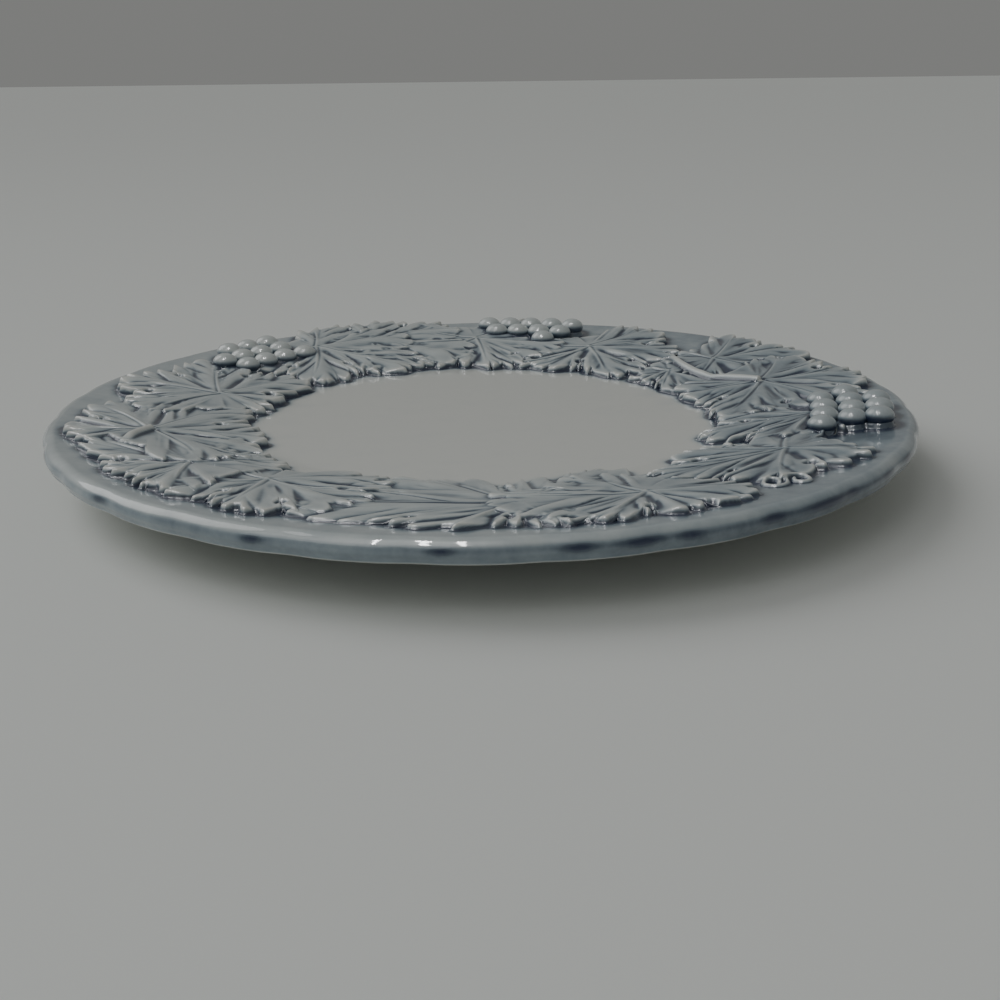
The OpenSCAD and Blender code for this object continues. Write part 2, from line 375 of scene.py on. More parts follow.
# The floor, the light and the camera, in metres apart from the camera's place
floor_half = 12.0
floor_colour = (0.74, 0.76, 0.74, 1)
floor_rough = 0.9
sky_colour = (0.97, 0.98, 0.95, 1)
sky_strength = 0.21
window_z = 1.0
camera_at = (4.24, -318.2, 93.9)
camera_pitch = np.radians(18.23)
camera_roll = np.radians(-0.68)
sensor_w = 36
lens_pixels = 1304
frame_pixels = 1000


def smooth(t):
    """Eases from 0 to 1 as t goes from 0 to 1, and stays level outside."""
    t = np.clip(t, 0, 1)
    return t * t * (3 - 2 * t)


def rise(t, start, over):
    """Eases from 0 to 1 as t goes on from a start."""
    return smooth((t - start) / over)


def fall(t, end, over):
    """Eases from 1 to 0 as t comes up to an end."""
    return smooth((end - t) / over)


def bell(t):
    """A Gaussian, 1 in the middle."""
    return np.exp(-t ** 2)


def hashed(*ids):
    """A number from 0 to 1 that depends on the ids alone, which may be arrays. The last keeps uses apart."""
    mixed = sum(np.asarray(v, float) * w for v, w in zip(ids, (12.9898, 78.233, 37.719)))
    return np.mod(np.sin(mixed + 1.3) * 43758.5453, 1)


def blur(field, sigma):
    """The field spread by a Gaussian of that sigma, as a product of transforms."""
    fx = np.fft.rfftfreq(field.shape[1], cell)
    fy = np.fft.fftfreq(field.shape[0], cell)
    spread = np.exp(-2 * (np.pi * sigma) ** 2 * (fy[:, None] ** 2 + fx[None, :] ** 2))
    return np.fft.irfft2(np.fft.rfft2(field) * spread, field.shape)


def read(field, x, y):
    """The field at any points, by weighing the four cells round each."""
    column = np.clip((x + map_half) / cell, 0, len(ticks) - 1.001)
    row = np.clip((y + map_half) / cell, 0, len(ticks) - 1.001)
    i, j = row.astype(int), column.astype(int)
    a, b = row - i, column - j
    near = field[i, j] * (1 - b) + field[i, j + 1] * b
    far = field[i + 1, j] * (1 - b) + field[i + 1, j + 1] * b
    return near * (1 - a) + far * a


def read_nearest(field, x, y):
    """The field in the cell nearest to each point."""
    row = np.clip(((y + map_half) / cell + 0.5).astype(int), 0, len(ticks) - 1)
    column = np.clip(((x + map_half) / cell + 0.5).astype(int), 0, len(ticks) - 1)
    return field[row, column]


def around(degrees, across):
    """A point on the rim."""
    a = np.radians(degrees)
    return (wreath_in + np.asarray(across) * wreath_w) * np.array([np.cos(a), np.sin(a)])


def rim_height(r):
    """Height of the bare plate: a flat floor that eases into the slope of the rim."""
    past = r - well_r
    return floor_top + rim_slope * 0.5 * (past + np.sqrt(past * past + well_blend ** 2))


def window(middle, reach):
    """The part of the map within reach of a point, as a pair of slices."""
    low = np.clip(((middle - reach + map_half) / cell).astype(int), 0, len(ticks))
    high = np.clip(((middle + reach + map_half) / cell).astype(int) + 2, 0, len(ticks))
    return slice(low[1], high[1]), slice(low[0], high[0])


def leaf_lobe(bearing):
    """Which lobe a bearing falls in, and how far off its middle, from -1 to 1."""
    lobe = np.digitize(bearing, lobe_edges)
    return lobe, np.clip((bearing - lobe_mid[lobe]) / lobe_half[lobe], -1, 1)


def leaf_fold(leaf, rho, bearing):
    """The number of the slanting fold that a point lies on, and its distances from the folds' two edges.

    A fold's edges leave the lobe's middle line at one slant on either side, a little unevenly spaced.
    """
    lobe, _ = leaf_lobe(bearing)
    turn = np.radians(bearing - lobe_mid[lobe])
    side = 2 * lobe + (turn > 0)
    run = rho * (np.cos(turn) - np.abs(np.sin(turn)) / np.tan(fold_turn))
    pitch = fold_pitch * (pitch_least + pitch_spread * hashed(leaf.degrees, side, 2))
    fold = run / pitch + hashed(leaf.degrees, side, 9)
    fold = fold + fold_sway * np.sin(sway_rate * fold + sway_phase * hashed(leaf.degrees, side, 4))
    place = np.mod(fold, 1)
    wide = pitch * np.sin(fold_turn)
    return side_numbers * side + np.floor(fold), place * wide, (1 - place) * wide


def tooth_rise(low, high):
    """Outline of a tooth from its distances to both notches: a rounded arch whose crest leans to the tip."""
    place = low / (low + high)
    return np.sin(np.pi * place ** tooth_lean).clip(0) ** tooth_round


def leaf_reach(leaf, bearing):
    """The leaf's reach from its joint: lobe lengths held between well and band, shaped by rounded cosines.

    The slits between the lobes keep their share of the reach, and the notches of the teeth are taken off.

    Returns the reach and the direction in the plan for each bearing from the main lobe.
    """
    lobe, off = leaf_lobe(bearing)
    slit = np.where(off < 0, slit_reach[lobe], slit_reach[lobe + 1])
    lobe_len = np.array([leaf.basal, side_reach, 1, side_reach, leaf.basal])[lobe]
    full = slit + (lobe_len - slit) * np.cos(np.pi / 2 * off).clip(0) ** lobe_round
    past = np.clip((np.abs(bearing) - heel_bearing) / (180 - heel_bearing), 0, 1)
    full = np.where(past > 0, full + (heel_reach - full) * past, full)
    b = np.radians(bearing)
    side_x, side_y = np.cos(b), leaf.width * np.sin(b)
    direction = np.radians(leaf.heading) + np.arctan2(side_y, side_x)
    joint = around(leaf.degrees, leaf.across)
    along = joint[0] * np.cos(direction) + joint[1] * np.sin(direction)
    free = leaf_grow * leaf.length * wreath_w * lobe_len * np.hypot(side_x, side_y)
    near = rise(-joint[1], *near_start) * fall(joint[0], *near_end)
    outer = wreath_out + far_lap * rise(joint[1], *far_start) - near_gap * near
    room_out = np.sqrt(along ** 2 - joint @ joint + outer ** 2) - along
    hole = along ** 2 - joint @ joint + wreath_in ** 2
    inward = (along < 0) & (hole > 0)
    room_in = np.where(inward, -along - np.sqrt(hole.clip(0)), no_limit)
    total = free ** -limit_power + room_out ** -limit_power + room_in ** -limit_power
    whole = total ** (-1 / limit_power) * full / lobe_len
    number, low, high = leaf_fold(leaf, whole, bearing)
    depth = tooth_depth * (tooth_least + hashed(leaf.degrees, number, 4))
    depth *= smooth(whole / tooth_start) * fall(np.abs(off), 1, tooth_slit)
    return whole - depth * (1 - tooth_rise(low, high)), direction


def leaf_bearing(leaf, x, y):
    """Distance from the leaf's joint, and bearing from its main lobe in degrees, of points in the plan."""
    joint = around(leaf.degrees, leaf.across)
    dx, dy = x - joint[0], y - joint[1]
    turn = np.arctan2(dy, dx) - np.radians(leaf.heading)
    return np.hypot(dx, dy), np.degrees(np.arctan2(np.sin(turn) / leaf.width, np.cos(turn)))


def beside_vein(leaf, lobe, rho, bearing):
    """Distance from the bent vein of a lobe, of which one side is positive."""
    turn = np.radians(bearing - lobe_mid[lobe])
    return rho * np.sin(turn) + vein_bends[lobe] * rho * rho / (leaf_grow * leaf.length * wreath_w)


def leaf_relief(leaf, x, y):
    """A leaf over points in the plan: its plain height, its detail, and the share of the way to the margin.

    The plain height is a low crown, raised at the tips at the back. The detail is the sum of slanting folds
    with one steep side, which run in from the notches by chance lengths, pockets at the notches, thin ribs
    between the folds, a wave across each lobe, dimples inside the margin, fine raised veins along the lobes
    with a groove beside each, and lens-shaped hollows towards the slits. An eyelet ends each slit.
    """
    degrees = leaf.degrees
    rho, bearing = leaf_bearing(leaf, x, y)
    reach, _ = leaf_reach(leaf, bearing)
    share = rho / reach
    s = share.clip(0, 1)
    lobe, off = leaf_lobe(bearing)
    aside = rho * np.abs(np.sin(np.radians(bearing - lobe_mid[lobe])))
    inner = rise(aside, *fold_clear) * fall(np.abs(off), *slit_clear)
    number, low, high = leaf_fold(leaf, rho, bearing)
    strength = fold_least + (1 - fold_least) * hashed(degrees, number, 8)
    start = fold_from + fold_spread * hashed(degrees, number, 6)
    valley = np.maximum(bell(low / fold_soft), bell(high / fold_steep))
    detail = -fold_h * strength * valley * inner * rise(s, start, fold_fade)
    pocket = bell(np.minimum(low, high) / notch_w)
    detail -= notch_h * pocket * rise(s, *notch_start)
    rib = bell((low - rib_place * (low + high)) / rib_w)
    detail += rib_h * rib * inner * fall(s, *rib_end) * rise(s, *rib_start)
    wave = 2 * np.pi * (wave_turns * off + hashed(degrees, lobe, 5))
    detail += wave_h * np.cos(wave) * rise(s, *wave_start)
    for side in (-1, 1):
        at_share = dimple_share + dimple_share_spread * hashed(degrees + side, lobe, 7)
        at_off = side * (dimple_off + dimple_off_spread * hashed(degrees + side, lobe, 11))
        deep = dimple_h * smooth(dimple_gain * hashed(degrees + side, lobe, 13) - dimple_rare)
        detail -= deep * np.exp(-((s - at_share) / dimple_long) ** 2 - ((off - at_off) / dimple_wide) ** 2)
    for i, middle in enumerate(lobe_mid):
        beside = beside_vein(leaf, i, rho, bearing)
        ahead = rise(np.cos(np.radians(bearing - middle)), *vein_ahead) * fall(s, *vein_end)
        thin = vein_w * (vein_root - vein_taper * s)
        detail += ahead * vein_h * bell(beside / thin)
        detail -= ahead * groove_h * bell((beside - groove_off * thin) / thin)
    plain = leaf_t + layer_step * (leaf.layer - low_layer) + leaf_crown * (1 - s * s)
    plain = plain + tip_lift * rise(np.hypot(x, y), *tip_start) * rise(y, *tip_back)
    slit_ends, _ = leaf_reach(leaf, lobe_edges)
    for i, (edge, end) in enumerate(zip(lobe_edges, slit_ends)):
        turn = np.radians(bearing - edge)
        beside, ahead = rho * np.sin(turn), rho * np.cos(turn)
        lens = rise(ahead / end, *lens_start) * fall(ahead / end, *lens_end)
        deep = lens_h * (lens_least + (1 - lens_least) * hashed(degrees, i, 15))
        detail -= deep * lens * bell(beside / lens_w)
        away = np.hypot(beside, ahead - eyelet_at * end)
        detail -= eyelet_deep * (plain + detail) * np.exp(-(away / eyelet_r) ** 4)
    return plain, detail, share


def smooth_run(points, steps):
    """A cubic run through given points."""
    p = np.vstack([points[:1], points, points[-1:]])
    t = np.linspace(0, 1, steps, endpoint=False)[:, None]
    runs = [
        b + t / 2 * (c - a + t * (2 * a - 5 * b + 4 * c - d + t * (3 * (b - c) + d - a)))
        for a, b, c, d in zip(p[:-3], p[1:-2], p[2:-1], p[3:])
    ]
    return np.vstack(runs + [points[-1:]])


def stalk_path(stalk):
    """A stalk's middle line in the plan."""
    return smooth_run(np.array([around(*p) for p in stalk.points]), run_steps)


def tendril_path():
    """Out of one curl and into the next, each a spiral that closes as it turns."""
    t = np.linspace(0, 1, curl_points)
    wide = curl_r - tendril_w / 2
    away = (wide - curl_close * curl_r * t)[:, None]
    heading = np.array([np.cos(tendril_bearing), np.sin(tendril_bearing)])
    one = around(*tendril_at)
    two = one + 2 * wide * heading
    a = tendril_bearing - curl_turn * t
    b = tendril_bearing + np.pi - curl_turn * t
    first = one + away * np.stack([np.cos(a), np.sin(a)], 1)
    second = two + away * np.stack([np.cos(b), np.sin(b)], 1)
    return np.vstack([first[::-1], second[1:]])


def bunch_grapes(bunch):
    """Middles of the grapes of a bunch, row by row."""
    found = []
    for inside, count, shift in bunch.rows:
        out = wreath_out - 2 * grape_r * inside
        step = 2 * grape_r * bunch.pitch / out
        a = np.radians(bunch.middle) + (np.arange(count) - (count - 1) / 2 + shift) * step
        found.append(out * np.stack([np.cos(a), np.sin(a)], 1))
    return np.vstack(found)


def bed_reach(grapes, direction):
    """Reach of a bunch's bed from its middle: the furthest of the circles round its grapes."""
    spots = grapes - grapes.mean(0)
    ways = np.stack([np.cos(direction), np.sin(direction)], -1)
    along = ways @ spots.T
    square = (grape_r + bed_margin) ** 2 - (spots ** 2).sum(1) + along ** 2
    reach = np.where(square > 0, along + np.sqrt(square.clip(0)), grape_r)
    return reach.max(-1)


def path_distance(path, x, y):
    """Distance of points in the plan from a path."""
    best = np.full(x.shape, 1e9)
    for p in path:
        best = np.minimum(best, (x - p[0]) ** 2 + (y - p[1]) ** 2)
    return np.sqrt(best)


def rounded_margin(inside):
    """From 0 at a sprig's margin to 1 a little way in."""
    return rise(blur(inside.astype(float), edge_soft), *edge_round)


def lay_leaf(top, leaf):
    """Lays a leaf on what is there: it keeps its own height or rides over, and its margin is rounded."""
    part = window(around(leaf.degrees, leaf.across), leaf_span * leaf.length * wreath_w + leaf_spare)
    plain, detail, share = leaf_relief(leaf, map_x[part], map_y[part])
    inside = share < 1
    below = top[part]
    over = blur(below, drape_soft) + drape_over
    laid = 0.5 * (plain + over + np.sqrt((plain - over) ** 2 + drape_join)) + detail
    laid = np.maximum(laid, below + clear_over).clip(0, relief_top)
    top[part] = np.where(inside, below + (laid - below) * rounded_margin(inside), below)
    return part, inside


def lay_bed(top, bunch):
    """Lays the bed of a bunch, which presses down what is there."""
    grapes = bunch_grapes(bunch)
    middle = grapes.mean(0)
    part = window(middle, bunch_span)
    dx, dy = map_x[part] - middle[0], map_y[part] - middle[1]
    inside = np.hypot(dx, dy) < bed_reach(grapes, np.arctan2(dy, dx))
    laid = np.maximum(bed_t * rounded_margin(inside), bed_press * top[part])
    top[part] = np.where(inside, laid, top[part])
    return part, inside


def lay_path(top, path, width, thick, tapered):
    """Lays a stalk or tendril with a round back along its path. A tapered one is low where it starts."""
    part = window(path.mean(0), np.ptp(path, axis=0).max() / 2 + path_spare)
    away = path_distance(path, map_x[part], map_y[part]) / (width / 2)
    inside = away < 1
    own = thick * np.sqrt((1 - away ** 2).clip(0))
    if tapered:
        along = np.hypot(map_x[part] - path[0, 0], map_y[part] - path[0, 1])
        own *= stalk_tip + (1 - stalk_tip) * rise(along, *stalk_swell)
    laid = blur(top[part], drape_soft) * stalk_ride + own - stalk_sink
    top[part] = np.where(inside, np.maximum(laid, top[part]), top[part])
    return part, inside


def build_relief():
    """The map of heights over the bare plate, the order of the topmost sprig, and each sprig's own state."""
    top = np.zeros_like(map_x)
    owner = np.zeros(map_x.shape, int)
    states = {}
    jobs = [(leaf.layer, leaf.name, lay_leaf, (leaf,)) for leaf in leaves]
    jobs += [(s.layer, s.name, lay_path, (stalk_path(s), stalk_w, stalk_t, True)) for s in stalks]
    jobs += [(top_layer, bunch.name, lay_bed, (bunch,)) for bunch in bunches]
    jobs += [(top_layer, tendril_name, lay_path, (tendril_path(), tendril_w, tendril_t, False))]
    for order, (_, name, lay, given) in enumerate(sorted(jobs, key=lambda job: job[:2]), 1):
        part, inside = lay(top, *given)
        owner[part] = np.where(inside, order, owner[part])
        states[name] = (order, top.astype(np.float32))
    return blur(top, glaze_soft), owner, states


def build_wash():
    """Where the blue glaze has run: more in hollows, less on ridges, none in the well. Steep walls are darker
    from glaze gathered there and from painted shade, and the right side is darker from painted shade.
    """
    shape = relief.copy()
    for bunch in bunches:
        for spot in bunch_grapes(bunch):
            part = window(spot, grape_r)
            drop = grape_r ** 2 - (map_x[part] - spot[0]) ** 2 - (map_y[part] - spot[1]) ** 2
            ball = np.where(drop > 0, grape_up + grape_flat * np.sqrt(drop.clip(0)), 0)
            shape[part] = np.maximum(shape[part], ball)
    hollow = blur(shape, hollow_soft) - shape
    crease = blur(shape, crease_soft) - shape
    on_leaf = smooth(blur((owner > 0).astype(float), cover_soft) * cover_gain)
    outside = rise(np.hypot(map_x, map_y), *rim_start)
    found = leaf_wash * on_leaf + rim_wash * outside * (1 - on_leaf)
    # painted shade: darker towards the right
    found += right_painted_shade * rise(map_x, *right_shade_start) * np.maximum(on_leaf, outside)
    found += (hollow_wash * np.maximum(hollow, hollow_ridge * hollow)
              + crease_wash * np.maximum(crease, crease_ridge * crease))
    # steep walls darker: partly glaze gathered there, partly painted shade
    steep = np.hypot(*np.gradient(relief, cell))
    found += steep_wash_and_shade * rise(steep, *steep_start)
    lined = next(leaf for leaf in leaves if leaf.name == line_leaf)
    rho, bearing = leaf_bearing(lined, map_x, map_y)
    beside = beside_vein(lined, len(lobe_mid) // 2, rho, bearing)
    shown = (np.abs(bearing) < line_bearing) * (owner == states[line_leaf][0])
    found += line_wash * bell((beside - line_off) / line_w) * shown
    return np.clip(found, 0, 1)


relief, owner, states = build_relief()
wash = build_wash()


def covered_height(name, x, y):
    """Height of a sprig at points in the plan: the map's where it is topmost, its own where it is covered."""
    order, own = states[name]
    shown = read(relief, x, y)
    above = read_nearest(owner, x, y)
    hidden = np.minimum(read(own, x, y), shown) - cover_sink
    return np.where(above > order, hidden, np.where(above < order, shown + skirt_lift, shown))


def grid_faces(rows, columns, first=0):
    """Quads of a grid of points, row by row, whose rows close on themselves."""
    i, j = np.meshgrid(np.arange(rows - 1), np.arange(columns), indexing="ij")
    k = (j + 1) % columns
    quads = np.stack([i * columns + j, i * columns + k, (i + 1) * columns + k, (i + 1) * columns + j], -1)
    return quads.reshape(-1, 4) + first


def fan_faces(pole, ring, flip=False):
    """Triangles from a pole to a closed ring."""
    after = np.roll(ring, -1)
    poles = np.full_like(ring, pole)
    return np.stack([poles, after, ring] if flip else [poles, ring, after], -1)


def make_piece(name, points, quads, tris, uv, attributes, material):
    """A smooth mesh from points in millimetres, with its own map and attributes, in place of its node."""
    mesh = bpy.data.meshes.new(name)
    loops = np.concatenate([quads.ravel(), tris.ravel()])
    sizes = np.concatenate([np.full(len(quads), 4), np.full(len(tris), 3)])
    mesh.vertices.add(len(points))
    mesh.vertices.foreach_set("co", (points * MM).astype(np.float32).ravel())
    mesh.loops.add(len(loops))
    mesh.loops.foreach_set("vertex_index", loops.astype(np.int32))
    mesh.polygons.add(len(sizes))
    mesh.polygons.foreach_set("loop_start", (np.cumsum(sizes) - sizes).astype(np.int32))
    mesh.polygons.foreach_set("use_smooth", np.ones(len(sizes), bool))
    layer = mesh.uv_layers.new(name="OFBake")
    layer.data.foreach_set("uv", uv.astype(np.float32).ravel())
    for label, values in attributes.items():
        mesh.attributes.new(label, "FLOAT", "POINT").data.foreach_set("value", values.astype(np.float32))
    mesh.update(calc_edges=True)
    mesh.validate()
    mesh.materials.append(material)
    piece = bpy.data.objects.new(name, mesh)
    bpy.context.scene.collection.objects.link(piece)
    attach(piece, BODY)
    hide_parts(name)


def plan_uv(points, quads, tris, hidden):
    """A plan view as the map of a piece, with the hidden triangles of its underside put into one corner."""
    flat = points[:, :2]
    low = flat.min(0)
    spread = (flat - low) / np.ptp(flat, axis=0).max() * plan_spread + plan_start
    corner = np.tile(spare_corner, (hidden, 1))
    shown = np.concatenate([quads.ravel(), tris[: len(tris) - hidden].ravel()])
    return np.vstack([spread[shown], corner])


def polar_points(middle, reach, direction):
    """Points over a star-shaped outline: rings that grow from the middle, then rings beside the margin."""
    inner = np.maximum(reach + margin_rings[0], margin_least * reach)
    shares = (np.arange(1, leaf_rings) / leaf_rings)[:, None]
    steps = np.linspace(margin_least, 1, len(margin_rings))[:, None]
    beside = np.maximum(reach + margin_rings[:, None], steps * reach)
    away = np.vstack([shares * inner, beside])
    return middle[0] + away * np.cos(direction), middle[1] + away * np.sin(direction)


def sprig_grid(name, middle, reach, direction):
    """A closed sprig: a pole, rings over the outline and past it, the last one sunk, and a pole below.

    Returns its points, quads and triangles, and how many of the last triangles are on the underside.
    """
    x, y = polar_points(middle, reach, direction)
    x = np.concatenate([[middle[0]], x.ravel(), [middle[0]]])
    y = np.concatenate([[middle[1]], y.ravel(), [middle[1]]])
    lift = covered_height(name, x, y)
    columns = len(direction)
    lift[-1 - columns:] -= skirt_sink
    lift[-1] = -skirt_sink
    points = np.stack([x, y, rim_height(np.hypot(x, y)) + lift], 1)
    last = len(points) - 1
    quads = grid_faces((last - 1) // columns, columns, 1)[:, ::-1]
    top = fan_faces(0, np.arange(1, columns + 1))
    bottom = fan_faces(last, np.arange(last - columns, last), flip=True)
    return points, quads, np.vstack([top, bottom]), columns


def vine_leaf(leaf, material):
    """A leaf on its polar grid."""
    bearing = np.linspace(-180, 180, leaf_columns, endpoint=False)
    reach, direction = leaf_reach(leaf, bearing)
    middle = around(leaf.degrees, leaf.across)
    points, quads, tris, hidden = sprig_grid(leaf.name, middle, reach, direction)
    attributes = {"wash": read(wash, points[:, 0], points[:, 1])}
    uv = plan_uv(points, quads, tris, hidden)
    make_piece(leaf.name, points, quads, tris, uv, attributes, material)


def grape_ball(spot, size, lift, first):
    """A grape: a flattened dome about its middle, longer in X, closed by a pole above and one below.

    Returns its points, quads and triangles from a first number on, and its points' polar angle and turn.
    """
    columns = grape_columns
    polar = np.linspace(0, grape_foot, grape_rings)[1:, None]
    turn = np.linspace(0, 2 * np.pi, columns, endpoint=False)[None, :]
    height = rim_height(np.hypot(*spot)) + grape_up + lift
    ball = np.stack([
        spot[0] + size * grape_long * np.sin(polar) * np.cos(turn),
        spot[1] + size * np.sin(polar) * np.sin(turn),
        height + size * grape_flat * np.cos(polar) + 0 * turn,
    ], -1).reshape(-1, 3)
    ends = height + size * grape_flat * np.cos([0, grape_foot])
    ball = np.vstack([[[*spot, ends[0]]], ball, [[*spot, ends[1]]]])
    quads = grid_faces(grape_rings - 1, columns, first + 1)[:, ::-1]
    last = first + len(ball) - 1
    tris = np.vstack([
        fan_faces(first, first + 1 + np.arange(columns)),
        fan_faces(last, last - columns + np.arange(columns), flip=True),
    ])
    level = np.concatenate([[0], np.repeat(polar.ravel(), columns), [grape_foot]]) / grape_foot
    spin = np.concatenate([[0], np.tile(turn.ravel(), grape_rings - 1), [0]])
    return ball, quads, tris, level, spin


def grape_bunch(bunch, seed, material):
    """A bed on a polar grid, with grapes that sink into it and heap outward.

    The bed's map takes up one quarter of the bunch's map, and each grape's a disc beside it.
    """
    grapes = bunch_grapes(bunch)
    direction = np.linspace(-np.pi, np.pi, bed_columns, endpoint=False)
    reach = bed_reach(grapes, direction)
    points, quads, tris, hidden = sprig_grid(bunch.name, grapes.mean(0), reach, direction)
    bed_uv = plan_uv(points, quads, tris, hidden) * half_map
    shown = len(quads) * 4
    all_points, all_quads, all_tris = [points], [quads], [tris]
    quad_uv, tri_uv = [bed_uv[:shown]], [bed_uv[shown:]]
    shades = [read(wash, points[:, 0], points[:, 1]).clip(bed_wash)]
    first = len(points)
    across = int(np.ceil(np.sqrt(len(grapes))))
    away = np.hypot(*grapes.T)
    lifts = (away - away.min()) / np.ptp(away)
    for k, spot in enumerate(grapes):
        size = grape_r * grape_size * (1 - grape_vary + grape_vary * hashed(seed, k, 1))
        ball, faces, caps, level, spin = grape_ball(spot, size, grape_heap * lifts[k], first)
        corner = half_map * np.array([1 + (k % across) / across, (k // across) / across])
        disc = np.stack([np.cos(spin), np.sin(spin)], 1) * level[:, None]
        disc = corner + (disc * disc_share + 0.5) * half_map / across
        quad_uv.append(disc[faces.ravel() - first])
        tri_uv.append(disc[caps.ravel() - first])
        low = rise(level * grape_foot, *grape_low)
        # painted shade: grapes on the right get a darker wash
        shades.append(grape_wash + grape_low_wash * low + right_painted_shade * rise(spot[0], *right_shade_start))
        all_points.append(ball)
        all_quads.append(faces)
        all_tris.append(caps)
        first += len(ball)
    uv = np.vstack(quad_uv + tri_uv)
    attributes = {"wash": np.concatenate(shades)}
    make_piece(bunch.name, np.vstack(all_points), np.vstack(all_quads), np.vstack(all_tris), uv, attributes,
               material)


def swept_sprig(name, path, width, material):
    """A stalk or tendril: points across its path read their heights from the map, over a sunk underside."""
    ahead = np.gradient(path, axis=0)
    side = np.stack([ahead[:, 1], -ahead[:, 0]], 1) / np.linalg.norm(ahead, axis=1)[:, None]
    top = np.linspace(-sweep_top, sweep_top, sweep_columns)
    across = np.concatenate([[-sweep_skirt], top, [sweep_skirt]]) * width
    x = path[:, :1] + side[:, :1] * across
    y = path[:, 1:] + side[:, 1:] * across
    lift = covered_height(name, x, y)
    lift[:, [0, -1]] -= skirt_sink
    lift[[0, -1]] -= skirt_sink
    points = np.stack([x, y, rim_height(np.hypot(x, y)) + lift], -1)
    below = path[:, None, :]
    deep = rim_height(np.hypot(below[..., 0], below[..., 1])) - skirt_sink
    points = np.concatenate([points, np.concatenate([below, deep[..., None]], -1)], 1)
    rows, columns = points.shape[:2]
    ends = points[[0, -1]].mean(1)
    points = np.vstack([points.reshape(-1, 3), ends])
    quads = grid_faces(rows, columns)
    last = rows * columns
    tris = np.vstack([
        fan_faces(last, np.arange(columns), flip=True),
        fan_faces(last + 1, last - columns + np.arange(columns)),
    ])
    i, j = np.divmod(np.arange(last), columns)
    corners = np.stack([j / columns, i / rows], 1) * sweep_spread + sweep_start
    quad_uv = corners[quads.ravel()].reshape(-1, 4, 2)
    wraps = np.ptp(quad_uv[..., 0], axis=1)[:, None] > half_map
    closing = wraps & (quad_uv[..., 0] < half_map)
    quad_uv[..., 0] = np.where(closing, sweep_spread + sweep_start, quad_uv[..., 0])
    uv = np.vstack([quad_uv.reshape(-1, 2), np.tile(spare_corner, (len(tris), 1))])
    attributes = {"wash": (read(wash, points[:, 0], points[:, 1]) + stalk_wash).clip(0)}
    make_piece(name, points, quads, tris, uv, attributes, material)


def body_profile():
    """Half section of the plate from the middle of the well, over the rim and the rolled edge, to the foot.

    Returns its radii and heights, and the numbers of points before the edge's first and after its last.
    """
    floor = np.linspace(*floor_rings)
    rim = np.linspace(rim_from, bead_mid_r - bead_r * rim_end, rim_rings)
    roll = np.radians(np.linspace(*roll_rings))
    edge_r = bead_mid_r + bead_r * np.cos(roll)
    edge_z = bead_mid_z + bead_r * np.sin(roll)
    foot_out = np.array([foot_r + foot_draft, foot_r + 0.5 * foot_draft, foot_r, foot_r - foot_bevel])
    foot_out_z = np.array([under_z, 0.5 * under_z, foot_bevel, 0])
    foot_in = np.array([foot_r - foot_w + foot_bevel, foot_r - foot_w, foot_r - foot_w - foot_draft])
    foot_in_z = np.array([0, foot_bevel, under_z])
    under = np.linspace(0, 1, under_rings)[1:-1]
    low_r = bead_mid_r + under * (foot_out[0] - bead_mid_r)
    low_z = bead_mid_z - bead_r + under * (under_z - bead_mid_z + bead_r)
    inner = np.linspace(foot_in[-1], inner_r, inner_rings)[1:]
    r = np.concatenate([floor, rim, edge_r, low_r, foot_out, foot_in, inner])
    z = np.concatenate([rim_height(floor), rim_height(rim), edge_z, low_z, foot_out_z, foot_in_z,
                        np.full(len(inner), under_z)])
    top = len(floor) + len(rim)
    return r, z, top, top + len(roll)


def edge_shade(a, x, band_z):
    """The wash on the edge, by angle, place and height: a streak of uneven strength, dabs and a pale lip,
    paler above as a painted sheen and darker towards the right as painted shade.
    """
    dab = 0
    for degrees, long in edge_dabs:
        apart = np.mod(np.degrees(a) - degrees + 180, 360) - 180
        along = bell(np.radians(apart) * plate_r / long)
        dab = np.maximum(dab, along * bell((band_z - streak_up) / dab_h))
    uneven = streak_even + (1 - streak_even) * np.sin(5 * a + 2 * np.sin(3 * a))
    streak = bell((band_z - streak_up) / streak_h) * uneven
    low = fall(band_z, streak_up, low_over)
    lip = fall(band_z, *lip_end)
    # painted sheen: the top of the edge is paler
    high = rise(band_z, *sheen_start)
    edge = edge_wash - painted_sheen * high + streak_wash * streak + low_wash * low + dab_wash * dab
    # painted shade: the edge is darker towards the right
    edge = edge + right_painted_shade * rise(x, *right_shade_start)
    return edge * (1 - lip) + lip_wash * lip


